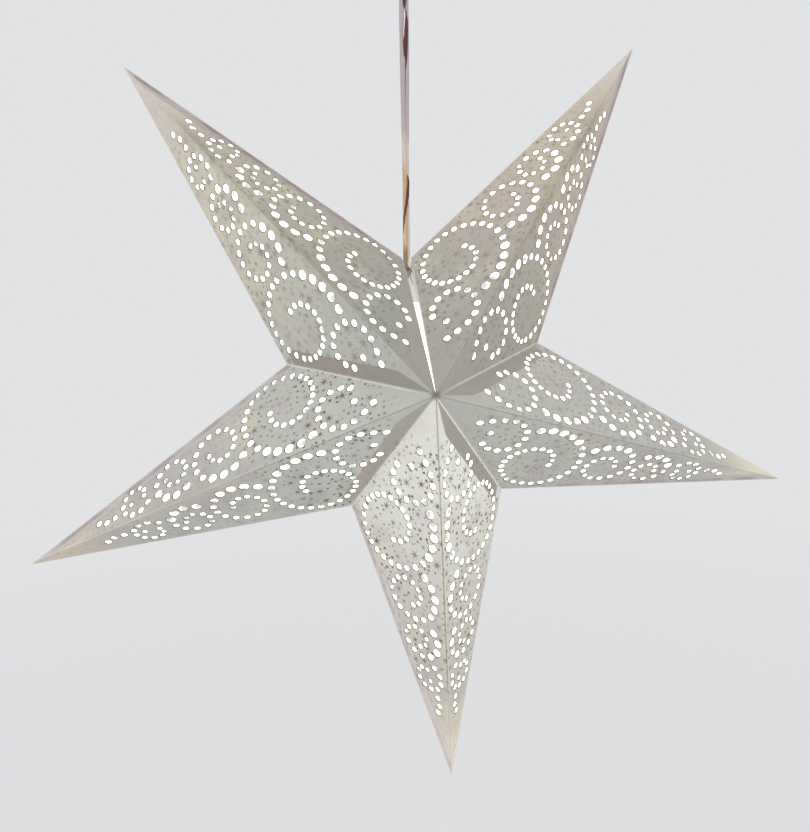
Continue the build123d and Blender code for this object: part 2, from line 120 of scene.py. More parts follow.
# The cord hangs from the clamp at the ceiling into the lampholder: two loosely twisted strands
# with painted shade between them, a dark red strand laid in the groove where the crease between
# them is in shade. A row of lay is a depth below the ceiling, the pair's turn in degrees, and each
# strand's distance from the middle and thickness, and a row of grooveShade is a depth, its place
# to the right and to the front, and its thickness, all in millimetres. Route, length and diameter
# are in metres. A strand is flattened to flatWidth across
cordLook = {
    "route": ((0, 0, -0.260), (0, 0, -0.222), (0, 0, -0.048), (0, 0, -0.010)),
    "length": 0.250,
    "diameter": 0.0064,
    "steps": 70,
    "sides": 14,
    "ribDepth": 0.05,
    "ribTurn": 2.1,
    "flatWidth": 1.5,
    "lay": (
        (10, -150, 1.50, 1.45, 1.50, 1.45),
        (38, -70, 1.50, 1.55, 1.50, 1.40),
        (56, -14, 1.60, 1.70, 2.40, 0.95),
        (70, -8, 1.60, 1.75, 2.50, 0.85),
        (80, -4, 1.70, 1.65, 2.55, 0.80),
        (90, 0, 1.95, 1.40, 2.72, 0.66),
        (99, 3, 1.85, 1.50, 2.68, 0.70),
        (107, 7, 1.75, 1.65, 2.50, 0.85),
        (117, 12, 1.45, 1.85, 1.90, 1.40),
        (148, 24, 1.30, 1.80, 1.50, 1.55),
        (176, 38, 1.20, 1.75, 1.30, 1.55),
        (196, 46, 1.20, 1.70, 1.35, 1.45),
        (214, 36, 1.20, 1.60, 1.45, 1.35),
        (230, 24, 1.15, 1.60, 1.40, 1.25),
        (246, 14, 1.05, 1.50, 1.30, 1.10),
        (260, 10, 1.40, 1.40, 1.40, 1.40),
    ),
    "grooveShade": (
        (10, 0.0, 0.0, 0.30),
        (60, 0.5, 0.4, 0.40),
        (66, 0.3, 1.2, 1.10),
        (70, 0.3, 1.2, 1.10),
        (75, 0.8, 0.6, 0.45),
        (78, 1.5, 0.4, 0.50),
        (83, 1.6, 1.0, 1.05),
        (90, 1.3, 1.2, 1.35),
        (98, 0.8, 1.3, 1.45),
        (104, 0.7, 1.1, 1.15),
        (110, 0.9, 0.5, 0.60),
        (118, 0.5, -0.2, 0.30),
        (186, 1.0, -0.2, 0.30),
        (195, 1.9, 1.1, 0.65),
        (203, 1.2, 2.0, 0.95),
        (209, 0.2, 2.2, 0.95),
        (215, -0.9, 2.1, 0.80),
        (221, -1.7, 1.8, 0.60),
        (229, -2.1, 1.2, 0.40),
        (238, -2.0, 0.4, 0.30),
        (248, -1.5, 0.1, 0.25),
        (260, 0.0, 0.0, 0.25),
    ),
}


def cordLine():
    # the points that Blender's own spline gives along the route
    curve = bpy.data.curves.new("cordRoute", "CURVE")
    curve.dimensions = "3D"
    curve.resolution_u = cordLook["steps"]
    spline = curve.splines.new("NURBS")
    spline.points.add(len(cordLook["route"]) - 1)
    for point, place in zip(spline.points, cordLook["route"]):
        point.co = (*place, 1)
    spline.order_u = 3
    spline.use_endpoint_u = True
    carrier = bpy.data.objects.new("cordRoute", curve)
    bpy.context.scene.collection.objects.link(carrier)
    mesh = bpy.data.meshes.new_from_object(carrier)
    points = [vertex.co.copy() for vertex in mesh.vertices]
    bpy.data.objects.remove(carrier)
    bpy.data.meshes.remove(mesh)
    return points


def layAt(rows, depth):
    # the row at a depth, eased between the rows above and below it
    for low, high in zip(rows, rows[1:]):
        if depth <= high[0]:
            share = max(0.0, (depth - low[0]) / (high[0] - low[0]))
            share = share * share * (3 - 2 * share)
            return [a + (b - a) * share for a, b in zip(low, high)]
    return rows[-1]


def tube(name, rings):
    # a closed tube through rings of points
    sides = len(rings[0])
    points = [point for ring in rings for point in ring]
    faces = []
    for row in range(len(rings) - 1):
        for step in range(sides):
            first, after = row * sides + step, row * sides + (step + 1) % sides
            faces.append((first, after, after + sides, first + sides))
    faces.append(tuple(reversed(range(sides))))
    faces.append(tuple(range(len(points) - sides, len(points))))
    mesh = bpy.data.meshes.new(name)
    mesh.from_pydata(points, [], faces)
    mesh.shade_smooth()
    piece = bpy.data.objects.new(name, mesh)
    bpy.context.scene.collection.objects.link(piece)
    return piece


def faceOutwards(piece):
    bpy.ops.object.select_all(action="DESELECT")
    bpy.context.view_layer.objects.active = piece
    piece.select_set(True)
    bpy.ops.object.mode_set(mode="EDIT")
    bpy.ops.mesh.select_all(action="SELECT")
    bpy.ops.mesh.normals_make_consistent(inside=False)
    bpy.ops.object.mode_set(mode="OBJECT")
    piece.select_set(False)


def strandRings(line, strand):
    sides = cordLook["sides"]
    rings = []
    for point in line:
        depth = -point.z * perMetre
        row = layAt(cordLook["lay"], depth)
        turn = math.radians(row[1] + (180 if strand == 0 else 0))
        away = Vector((math.cos(turn), math.sin(turn), 0))
        beside = Vector((-away.y, away.x, 0))
        # the third strand is painted shade: a dark strand in the groove between the two
        if strand == 2:
            _, right, front, radius = layAt(cordLook["grooveShade"], depth)
            middle, ribs, narrow = Vector((right, -front, 0)), 0.0, 1.0
        else:
            middle, radius = away * row[2 + 2 * strand], row[3 + 2 * strand]
            ribs, narrow = cordLook["ribDepth"], min(1.0, cordLook["flatWidth"] / radius)
        ring = []
        for step in range(sides):
            angle = 2 * math.pi * step / sides
            reach = radius * (1 + ribs * math.sin(depth * cordLook["ribTurn"] + 2 * angle + strand))
            offset = away * math.cos(angle) * reach + beside * math.sin(angle) * reach * narrow
            ring.append(Vector((0, 0, point.z)) + (middle + offset) * mm)
        rings.append(ring)
    return rings


def makeCord():
    line = cordLine()
    names = ("cord_strand_wide", "cord_strand_thin", "cord_groove_shade")
    pieces = [tube(name, strandRings(line, strand)) for strand, name in enumerate(names)]
    for piece in pieces:
        faceOutwards(piece)
    return line, pieces


cordPath, cordPieces = makeCord()
print("cord: laid")

# Colours are written as they look on a screen, from 0 to 255


def shade(red, green, blue):
    def straight(level):
        level /= 255
        return level / 12.92 if level <= 0.04045 else ((level + 0.055) / 1.055) ** 2.4

    return (straight(red), straight(green), straight(blue), 1.0)


def tone(levels, *change):
    # a colour with its levels changed, by one number for all three or by one for each
    steps = change * 3 if len(change) == 1 else change or (0, 0, 0)
    return shade(*[level + step for level, step in zip(levels, steps)])


def isSocket(value):
    return isinstance(value, bpy.types.NodeSocket)


def feed(slot, value):
    if isSocket(value):
        slot.id_data.links.new(value, slot)
    else:
        slot.default_value = value


def newNode(kind, *values):
    # a node in the tree that the values' own sockets are in
    return next(value for value in values if isSocket(value)).id_data.nodes.new(kind)


def calc(operation, *values, clamp=False):
    node = newNode("ShaderNodeMath", *values)
    node.operation = operation
    node.use_clamp = clamp
    for slot, value in zip(node.inputs, values):
        feed(slot, value)
    return node.outputs[0]


def product(*values):
    result = math.prod(value for value in values if not isSocket(value))
    for value in filter(isSocket, values):
        result = calc("MULTIPLY", result, value)
    return result


def vectorCalc(operation, *values, outlet=0):
    node = newNode("ShaderNodeVectorMath", *values)
    node.operation = operation
    for slot, value in zip(node.inputs, values):
        feed(slot, value)
    return node.outputs[outlet]


def fade(value, start, end):
    # 0 up to start, 1 from end on, smooth between them
    node = newNode("ShaderNodeMapRange", value)
    node.interpolation_type = "SMOOTHSTEP"
    feed(node.inputs["Value"], value)
    feed(node.inputs["From Min"], start)
    feed(node.inputs["From Max"], end)
    return node.outputs["Result"]


def mixColours(share, first, second):
    node = newNode("ShaderNodeMix", share, first, second)
    node.data_type = "RGBA"
    feed(node.inputs[0], share)
    feed(node.inputs[6], first)
    feed(node.inputs[7], second)
    return node.outputs[2]


def noise(point, scale, detail=2.0, roughness=0.5):
    node = newNode("ShaderNodeTexNoise", point)
    feed(node.inputs["Vector"], point)
    node.inputs["Scale"].default_value = scale
    node.inputs["Detail"].default_value = detail
    node.inputs["Roughness"].default_value = roughness
    return node.outputs["Fac"]


def objectPoint(tree):
    return tree.nodes.new("ShaderNodeTexCoord").outputs["Object"]


def inMillimetres(point):
    return vectorCalc("MULTIPLY", point, (perMetre, perMetre, perMetre))


def separated(point):
    node = newNode("ShaderNodeSeparateXYZ", point)
    feed(node.inputs[0], point)
    return node.outputs


def bump(height, strength, distance):
    node = newNode("ShaderNodeBump", height)
    node.inputs["Strength"].default_value = strength
    node.inputs["Distance"].default_value = distance
    feed(node.inputs["Height"], height)
    return node.outputs["Normal"]


def newMaterial(name, roughness, metallic=0.0, **sockets):
    material = bpy.data.materials.new(name)
    material.use_nodes = True
    shader = material.node_tree.nodes["Principled BSDF"]
    shader.inputs["Roughness"].default_value = roughness
    shader.inputs["Metallic"].default_value = metallic
    for socket, value in sockets.items():
        shader.inputs[socket.replace("_", " ")].default_value = value
    return material, shader, objectPoint(material.node_tree)


# The print of one sheet, in millimetres: small many-armed stars with dots between them. The
# stars have from starArms arms to moreArms more, and no dot lies within clearRound of a star
printLook = {
    "starPitch": 13.5,
    "starScatter": 0.8,
    "starShift": 3.0,
    "starArms": 6.0,
    "moreArms": 2.99,
    "starReach": (2.7, 4.9),
    "starWaist": 0.20,
    "dotPitch": 5.0,
    "dotScatter": 0.85,
    "dotShift": 41.0,
    "dotReach": (0.55, 1.15),
    "dotShare": 0.86,
    "clearRound": 0.4,
}


def makePrint():
    # a node group that gives the share of ink, from 0 to 1, at a point of a flat sheet
    tree = bpy.data.node_groups.new("paperPrint", "ShaderNodeTree")
    tree.interface.new_socket("Point", in_out="INPUT", socket_type="NodeSocketVector")
    tree.interface.new_socket("Blur", in_out="INPUT", socket_type="NodeSocketFloat")
    tree.interface.new_socket("Ink", in_out="OUTPUT", socket_type="NodeSocketFloat")
    inlet = tree.nodes.new("NodeGroupInput")
    outlet = tree.nodes.new("NodeGroupOutput")
    point, blur = inlet.outputs["Point"], inlet.outputs["Blur"]

    def scattered(kind):
        # the way to the nearest star or dot, and three numbers that stay the same all over it
        shift = printLook[kind + "Shift"]
        node = newNode("ShaderNodeTexVoronoi", point)
        node.voronoi_dimensions = "2D"
        moved = vectorCalc("ADD", point, (shift, shift * 0.7, 0))
        feed(node.inputs["Vector"], moved)
        node.inputs["Scale"].default_value = 1 / printLook[kind + "Pitch"]
        node.inputs["Randomness"].default_value = printLook[kind + "Scatter"]
        offset = vectorCalc("SUBTRACT", moved, node.outputs["Position"])
        chance = newNode("ShaderNodeSeparateColor", point)
        feed(chance.inputs[0], node.outputs["Color"])
        return offset, vectorCalc("LENGTH", offset, outlet=1), chance.outputs

    def between(chance, reach):
        return calc("MULTIPLY_ADD", chance, reach[1] - reach[0], reach[0])

    def printed(distance, reach):
        low = calc("SUBTRACT", distance, blur)
        spread = calc("MULTIPLY", blur, 2.0)
        return calc("DIVIDE", calc("SUBTRACT", reach, low), spread, clamp=True)

    offset, distance, chance = scattered("star")
    right, up, _ = separated(offset)
    angle = calc("ARCTAN2", up, right)
    more = calc("FLOOR", calc("MULTIPLY", chance[2], printLook["moreArms"]))
    count = calc("ADD", printLook["starArms"], more)
    turned = calc("MULTIPLY_ADD", chance[1], 2 * math.pi, angle)
    lobe = calc("FRACT", calc("DIVIDE", product(turned, count), 2 * math.pi))
    fromArm = calc("MULTIPLY", calc("ABSOLUTE", calc("SUBTRACT", lobe, 0.5)), 2.0)
    reach = between(chance[0], printLook["starReach"])
    waist = printLook["starWaist"]
    outline = calc("DIVIDE", calc("MULTIPLY", reach, waist),
        calc("MULTIPLY_ADD", fromArm, 1 - waist, waist))
    starInk = printed(distance, outline)

    _, dotDistance, dotChance = scattered("dot")
    dotInk = printed(dotDistance, between(dotChance[0], printLook["dotReach"]))
    dotInk = calc("MULTIPLY", dotInk, calc("LESS_THAN", dotChance[1], printLook["dotShare"]))
    clear = calc("GREATER_THAN", distance, calc("ADD", reach, printLook["clearRound"]))
    dotInk = calc("MULTIPLY", dotInk, clear)
    feed(outlet.inputs["Ink"], calc("MAXIMUM", starInk, dotInk, clamp=True))
    return tree


paperPrint = makePrint()

# Paper. Each row of panels has a value for arms 1 to 5 and then for the rear: tones near the
# apex, further out and at the tip, which hold painted light as well as the paper's own tone, paler
# where the lamp inside shines through more, as on the lower arms; the tone along the rim; how much
# paler the left and right panels and their flap shadows are painted, as painted light and shade on
# each side; how dark, blurred and small the print is, where print and fold wear off, and how strong
# the stain along the ridge, its painted fold highlight and shade and the lamp's light are
paperLook = {
    "panels": {
        "near": ((173, 171, 162), (189, 189, 181), (226, 225, 216),
            (192, 194, 186), (178, 179, 171), (194, 193, 187)),
        "far": ((203, 190, 172), (188, 188, 183), (187, 183, 173),
            (186, 184, 178), (208, 202, 183), (203, 199, 191)),
        "tip": ((222, 211, 200), (234, 228, 204), (238, 225, 200),
            (222, 208, 190), (224, 213, 207), (220, 211, 202)),
        "rim": ((196, 184, 184), (198, 190, 190), (214, 204, 206),
            (198, 190, 192), (178, 165, 169), (198, 190, 190)),
        "lift": ((0, 6), (0, 10), (16, 6), (11, 0), (14, -16), (0, 0)),
        "flapShadow": ((0, 0), (1, 0), (-1, 0), (17, 0), (-7, 10), (0, 0)),
        "ink": (0.44, 0.42, 0.82, 0.88, 0.46, 0.50),
        "blur": (0.85, 0.75, 0.50, 0.45, 0.85, 0.60),
        "grow": (0.84, 1.0, 1.0, 1.0, 0.84, 1.0),
        "wornFrom": ((215, 255), (190, 245), (205, 245), (108, 150), (225, 262), (205, 250)),
        "stainAndWarmLight": (0.50, 0.15, 0.40, 0.20, 0.52, 0.30),
        "fold": (0.22, 0.40, 0.75, 0.50, 0.16, 0.50),
        "glow": (0.035, 0.05, 0.11, 0.05, 0.035, 0.05),
    },
    "flapShadowColours": ((164, 161, 155), (172, 162, 152)),
    "inside": (246, 246, 242),
    "shaded": (150, 142, 134),
    "holeEdgeShade": (124, 120, 110),
    "glowColour": (250, 252, 244),
    "veiled": 0.8,
    "bump": (0.4, 0.0006),
}

# Marks on every panel. A place with two numbers is where a mark begins and where it is full, and
# one with three its start, end and softness: millimetres from apex, ridge, valley or rim, or
# levels of a noise
# Painted shade for creases and the apex, painted highlights for folds and edges
foldDark, foldPale = (132, 124, 116), (232, 228, 220)
markLook = {
    "far": (50, 215),
    "cream": {"clouds": (0.48, 0.72), "along": (20, 130), "share": 0.45, "colour": (220, 212, 186)},
    "lilac": {"patches": (0.46, 0.68), "share": 0.50, "colour": (184, 170, 174)},
    "lilacOut": {"along": (40, 140), "share": 0.7},
    "grey": {"mottle": (0.45, 0.75), "share": 0.22, "change": (-26,)},
    "streak": {"streaks": (0.52, 0.78), "share": 0.24, "change": (-30,)},
    "stainAndWarmLight": {"across": (8.0, 0.5), "along": (95, 262, 30), "streaks": (0.28, 0.55), "change": (-12, -17, -34)},
    "tip": {"along": (232, 292), "share": 0.9},
    "worn": 0.78,
    "print": {"along": (18, 48), "colour": (112, 108, 102)},
    "printCloud": (0.3, 0.65),
    "printLeast": 0.45,
    # painted shade of the glue flap behind the sheet, with a painted shade line at its edge
    "flapShadow": {"toValley": (1.1, 11.6, 0.4), "trimmed": (-0.6, 0.6), "toRim": (7.0, 8.2)},
    "flapShadowShare": 0.85,
    "flapShadowSlant": 0.42,
    "flapShadowPatches": (0.38, 0.62),
    "flapShadowEdge": {"toValley": (11.3, 11.9, 0.35), "trimmed": (0, 3), "share": 0.35, "colour": foldDark},
    "rim": {"toRim": (0.9, 8.0, 0.4), "share": 0.70},
    "rimDarkPatches": {"toRim": (0.9, 4.8, 0.5), "patches": (0.36, 0.60), "share": 0.75, "change": (-34, -40, -42)},
    "rimLine": {"toRim": (7.7, 8.6, 0.4), "mottle": (0.25, 0.6), "share": 0.40, "colour": (150, 140, 140)},
    # painted highlights and shade along the folds: beside the ridge, in its crease, on the valleys and outer
    # edges, and at the apex
    "ridgeHighlight": {"across": (1.1, 1.9, 0.4), "along": (8, 60), "share": 0.4, "colour": foldPale},
    "ridgeCreaseShade": {"aside": (1.05, 0.25), "colour": foldDark},
    "ridgeWander": 0.8,
    "valley": {"toValley": (1.0, 0.45), "along": (3, 22), "share": 0.8, "colour": foldPale},
    "flapShadowValleyHighlight": {"toValley": (1.0, 0.45), "along": (3, 22), "share": 0.35, "colour": foldPale},
    "outerEdgeHighlight": {"toRim": (1.1, 0.5), "share": 0.65, "colour": foldPale},
    "apex": {"along": (5.0, 0.8), "share": 0.75, "colour": (104, 96, 92)},
}

# Depths in millimetres at which the cut edge and the inside start, on a panel and on a flap behind
# one, and distances from the notch in metres at which light reaches the inside
insideLook = {
    "panel": (0.02, 0.37),
    "flap": (0.42, 0.77),
    "overlap": 0.001,
    "shadeFrom": (0.010, 0.022),
    "glowFrom": (0.012, 0.026),
    "glow": (0.02, 0.93),
}


def localPoint(point, arm, face, side):
    # a panel's own point in millimetres: along the ridge, across from it and away from the sheet
    apex, xAxis, yAxis, _ = panelAxes(arm, face, side)
    turn = Matrix((xAxis, yAxis, xAxis.cross(yAxis)))
    node = newNode("ShaderNodeMapping", point)
    node.vector_type = "POINT"
    feed(node.inputs["Vector"], point)
    node.inputs["Rotation"].default_value = turn.to_euler("XYZ")
    node.inputs["Location"].default_value = -(turn @ apex)
    return inMillimetres(node.outputs["Vector"])


def edgeDistance(point, corner, inward):
    away = vectorCalc("SUBTRACT", point, (corner[0], corner[1], 0))
    return vectorCalc("DOT_PRODUCT", away, (inward[0], inward[1], 0), outlet=1)


def swing(value, half):
    # a noise from 0 to 1 turned into a way from -half to half
    return calc("MULTIPLY_ADD", value, 2 * half, -half)


def stripe(value, start, end, soft):
    # 1 between start and end, with soft edges
    return product(fade(value, start - soft, start + soft),
        fade(value, end + soft, end - soft))


# A panel laid flat: how long its ridge and valley are, in millimetres, and its valley's and its
# rim's inward ways
tipReach = math.hypot(star["tipRadius"], star["apexHeight"]) * perMetre
apexToNotch = math.hypot(star["notchRadius"], star["apexHeight"]) * perMetre
cornerAngle = math.acos((math.cos(math.radians(armAngle / 2)) * star["tipRadius"] * star["notchRadius"]
    + star["apexHeight"] ** 2) * perMetre ** 2 / tipReach / apexToNotch)
notchFlat = (apexToNotch * math.cos(cornerAngle), apexToNotch * math.sin(cornerAngle))
valleyInward = (math.sin(cornerAngle), -math.cos(cornerAngle))
rimRun = Vector((notchFlat[0] - tipReach, notchFlat[1])).normalized()
rimInward = (-rimRun.y, rimRun.x)


def strength(mark, at, *shares):
    # how strong a mark is at a point: its share, the shares given, and its places
    factors = [mark.get("share", 1.0), *shares]
    for spot, span in mark.items():
        if spot in at:
            factors.append((stripe if len(span) == 3 else fade)(at[spot], *span))
    return product(*factors)


def addMark(colour, mark, at, *shares, base=None):
    # lays a mark in its own colour, or in a change of the base colour
    levels = tone(base or mark["colour"], *mark.get("change", ()))
    return mixColours(strength(mark, at, *shares), colour, levels)


def panelSpots(point, arm, face, side):
    # where a point lies on its panel, and the noises there
    along, across, depth = separated(point)
    flat = vectorCalc("MULTIPLY", point, (1, 1, 0))
    seed = arm * 61.0 + (200 if face == "rear" else 0) + (31 if side == "left" else 0)
    shifted = vectorCalc("ADD", flat, (seed, seed * 1.7, 0))

    def spots(scale, *detail, stretch=(1, 1, 1), shift=(0, 0, 0)):
        moved = vectorCalc("MULTIPLY_ADD", shifted, stretch, shift)
        return noise(moved, scale, *detail)

    at = {
        "along": along,
        "across": across,
        "depth": calc("ABSOLUTE", depth),
        "toValley": edgeDistance(point, (0, 0), valleyInward),
        "toRim": edgeDistance(point, (tipReach, 0), rimInward),
        "shifted": shifted,
        "clouds": spots(0.030, 3.0),
        "patches": spots(0.045, 3.0, shift=(90, 40, 0)),
        "mottle": spots(0.20, 3.0),
        "streaks": spots(0.16, 3.0, stretch=(0.22, 1, 1)),
        "fibre": spots(1.6, 3.0, 0.65, stretch=(1, 2.6, 1)),
    }
    run = vectorCalc("DOT_PRODUCT", flat, (-valleyInward[1], valleyInward[0], 0), outlet=1)
    toValley = calc("MULTIPLY", at["toValley"], -1.0)
    at["trimmed"] = calc("MULTIPLY_ADD", run, markLook["flapShadowSlant"], toValley)
    at["aside"] = at["across"]
    if side == "left":
        wander = calc("ABSOLUTE", swing(at["clouds"], markLook["ridgeWander"]))
        at["aside"] = calc("ADD", at["across"], wander)
    return at


def sheetColour(look, side, at):
    # pale grey whose tones near the apex and further out hold painted light and shade, with cream and lilac
    # patches, a stain along the ridge and a warm tip
    # the left and right panels are painted paler or darker, as painted light and shade on each side
    lift = look["lift"][side == "right"]
    near = [level + lift for level in look["near"]]
    colour = mixColours(fade(at["along"], *markLook["far"]), tone(near), tone(look["far"], lift))
    colour = addMark(colour, markLook["cream"], at)
    outwards = calc("ADD", strength(markLook["lilacOut"], at), 1 - markLook["lilacOut"]["share"])
    colour = addMark(colour, markLook["lilac"], at, outwards)
    colour = addMark(colour, markLook["grey"], at, base=near)
    colour = addMark(colour, markLook["streak"], at, base=near)
    colour = addMark(colour, markLook["stainAndWarmLight"], at, look["stainAndWarmLight"], base=near)
    return addMark(colour, markLook["tip"], at, base=look["tip"])


def printShare(look, at, crisp):
    group = newNode("ShaderNodeGroup", crisp)
    group.node_tree = paperPrint
    grown = vectorCalc("MULTIPLY", at["shifted"], (look["grow"], look["grow"], 1))
    feed(group.inputs["Point"], grown)
    group.inputs["Blur"].default_value = look["blur"]
    cloudy = calc("ADD", markLook["printLeast"], fade(at["clouds"], *markLook["printCloud"]))
    return strength(markLook["print"], at, group.outputs["Ink"], look["ink"], cloudy, crisp)


def addFoldLightAndShade(colour, look, at, flapShadow, crisp):
    # painted shade in the ridge's crease with a painted highlight beside it, painted highlights on the valleys
    # and outer edges, and painted shade at the apex
    colour = addMark(colour, markLook["ridgeHighlight"], at, look["fold"])
    colour = addMark(colour, markLook["ridgeCreaseShade"], at, look["fold"], crisp)
    colour = addMark(colour, markLook["flapShadowValleyHighlight" if flapShadow else "valley"], at)
    colour = addMark(colour, markLook["outerEdgeHighlight"], at)
    return addMark(colour, markLook["apex"], at)


def paperMaterial(name, arm, face, side, flapShadow=False, rim=False, inner=False):
    look = {kind: row[arm - 1 if face == "front" else -1] for kind, row in paperLook["panels"].items()}
    material, shader, point = newMaterial(name, roughness=0.82, Specular_IOR_Level=0.25)
    at = panelSpots(localPoint(point, arm, face, side), arm, face, side)
    worn = fade(at["along"], *look["wornFrom"])
    crisp = calc("MULTIPLY_ADD", worn, -markLook["worn"], 1.0)
    colour = sheetColour(look, side, at)
    inkShare = printShare(look, at, crisp)
    colour = mixColours(inkShare, colour, tone(markLook["print"]["colour"]))

    # painted shade: the glue flap behind holds back the lamp's light, painted as a darker band beside the
    # valley
    flapShadowShare = 0.0
    if flapShadow:
        flapShadowShare = strength(markLook["flapShadow"], at)
        # each side's flap shadow is painted paler or darker as well
        lift = look["flapShadow"][side == "right"]
        cool, warm = (tone(levels, lift) for levels in paperLook["flapShadowColours"])
        flapShadowTone = mixColours(fade(at["patches"], *markLook["flapShadowPatches"]), cool, warm)
        colour = mixColours(product(flapShadowShare, markLook["flapShadowShare"]), colour, flapShadowTone)
        colour = addMark(colour, markLook["flapShadowEdge"], at)
    if rim:
        # a strip along the rim in the rim's tone, darker in patches near its outer edge, with a dark line at
        # its inner edge
        colour = addMark(colour, markLook["rim"], at, base=look["rim"])
        colour = addMark(colour, markLook["rimDarkPatches"], at, base=look["rim"])
        colour = addMark(colour, markLook["rimLine"], at)
    colour = addFoldLightAndShade(colour, look, at, flapShadow, crisp)

    # the cut edges of the holes, in painted shade, and the inside, which the lamp lights, in painted shade near
    # the notch
    start, end = insideLook["flap" if inner else "panel"]
    inside = calc("GREATER_THAN", at["depth"], end)
    sheetEdge = product(calc("GREATER_THAN", at["depth"], start),
        calc("LESS_THAN", at["depth"], end + insideLook["overlap"]))
    colour = mixColours(sheetEdge, colour, tone(paperLook["holeEdgeShade"]))
    fromNotch = vectorCalc("DISTANCE", point, tuple(notchPoint), outlet=1)
    insideColour = mixColours(fade(fromNotch, *insideLook["shadeFrom"]),
        tone(paperLook["shaded"]), tone(paperLook["inside"]))
    feed(shader.inputs["Base Color"], mixColours(inside, colour, insideColour))

    # the lamp's light, through the sheet where no ink or flap is in its way, and on the inside
    veil = product(calc("MAXIMUM", inkShare, flapShadowShare), paperLook["veiled"])
    clear = [calc("SUBTRACT", 1.0, less) for less in (veil, sheetEdge, inside)]
    outGlow = product(look["glow"], *clear)
    least, more = insideLook["glow"]
    inGlow = calc("MULTIPLY_ADD", fade(fromNotch, *insideLook["glowFrom"]), more, least)
    feed(shader.inputs["Emission Strength"], calc("ADD", outGlow, product(inside, inGlow)))
    shader.inputs["Emission Color"].default_value = tone(paperLook["glowColour"])
    waves = calc("MULTIPLY_ADD", at["clouds"], 7.0, calc("MULTIPLY", at["streaks"], 1.4))
    rough = calc("MULTIPLY_ADD", at["mottle"], 0.6, calc("MULTIPLY", at["fibre"], 0.12))
    feed(shader.inputs["Normal"], bump(calc("ADD", waves, rough), *paperLook["bump"]))
    return material


def dress(node, material):
    mesh = cadNodes[node].data
    if not mesh.materials:
        mesh.materials.append(material)
    for index in range(len(mesh.materials)):
        mesh.materials[index] = material


for arm in range(1, star["arms"] + 1):
    for face in ("front", "rear"):
        for side in ("left", "right"):
            flapShadow = side == "left" and arm > 1 or side == "right" and arm == star["arms"]
            rim = face == "front" and side == "right"
            name = f"arm_{arm}_{face}_{side}"
            dress(name, paperMaterial("paper_" + name, arm, face, side, flapShadow, rim))
    dress(f"rim_flap_{arm}", paperMaterial(f"paper_rim_flap_{arm}", arm, "front", "right", inner=True))
print("paper: panels dressed")

# Punched scrolls of one panel, in millimetres along the ridge from the apex and across from it:
# start, heading, first hole, then arcs of (radius, turn, holes, hole width)
punching = {
    "scrolls": (
        ((39.9, 15.2), 324, 4.7, ((68.4, 14, 2, 4.7), (17.9, 128, 5, 4.6), (14.8, 119, 4, 4.8))),
        ((114.6, 43.0), 276, 4.3, ((14.3, -105, 4, 4.2), (20.9, -134, 8, 4.3), (29.2, -145, 10, 4.5),
            (37.4, -27, 2, 4.8), (37.4, -68, 5, 6.4))),
        ((164.0, 28.4), 255, 3.9, ((9.9, -110, 3, 3.9), (13.6, -146, 5, 4.0), (19.1, -117, 5, 4.4),
            (21.8, -23, 1, 4.9), (21.8, -93, 4, 6.2))),
        ((198.8, 23.9), 263, 3.7, ((7.3, -103, 2, 3.7), (9.7, -153, 4, 3.9), (13.7, -99, 3, 4.3),
            (15.6, -128, 4, 5.9))),
        ((217.1, 18.5), 109, 3.6, ((6.4, -97, 2, 3.7), (10.2, -146, 4, 3.9), (11.9, -104, 3, 4.2))),
        ((239.8, 9.9), 336, 4.2, ((16.0, 52, 2, 4.2),)),
        ((52.4, 22.8), 0, 4.6, ()),
        ((227.0, 15.5), 0, 3.5, ()),
    ),
}

# Painted shade round each hole: a low dark ring where the paper's thickness shades the hole's
# edge, in millimetres, wider on the side of shadeSide. Its highest line runs at ringCrest, from 1
# at the hole to 2 at the outside
holeShadeLook = {
    "ringSides": 18,
    "ringCrest": 1.4,
    "ringHeight": 0.10,
    "ringWidth": 0.40,
    "ringShadeWidth": 0.45,
    "shadeSide": (-0.80, 0.0, -0.60),
    "shadeFall": 1.5,
    "darkerShadeArms": (2, 3, 4),
    "darkShade": {"dark": (112, 108, 98), "pale": (158, 154, 144)},
    "paleShade": {"dark": (118, 114, 102), "pale": (160, 155, 144)},
    "patchScale": 0.09,
    "patchLevels": (0.35, 0.65),
    "patchShare": 0.7,
    "speckScale": 1.4,
    "speckShare": 0.3,
    "bump": (0.3, 0.0001),
}


def holePlaces():
    holes = []
    for start, heading, width, arcs in punching["scrolls"]:
        holes.append((*start, width / 2))
        x, y = start
        for radius, turn, count, width in arcs:
            side = 1 if turn > 0 else -1
            normalX = -math.sin(math.radians(heading)) * side
            normalY = math.cos(math.radians(heading)) * side
            centreX, centreY = x + normalX * radius, y + normalY * radius
            for step in range(1, count + 1):
                angle = math.radians(turn * step / count)
                spokeX, spokeY = -normalX * radius, -normalY * radius
                x = centreX + spokeX * math.cos(angle) - spokeY * math.sin(angle)
                y = centreY + spokeX * math.sin(angle) + spokeY * math.cos(angle)
                holes.append((x, y, width / 2))
            heading += turn
    return holes


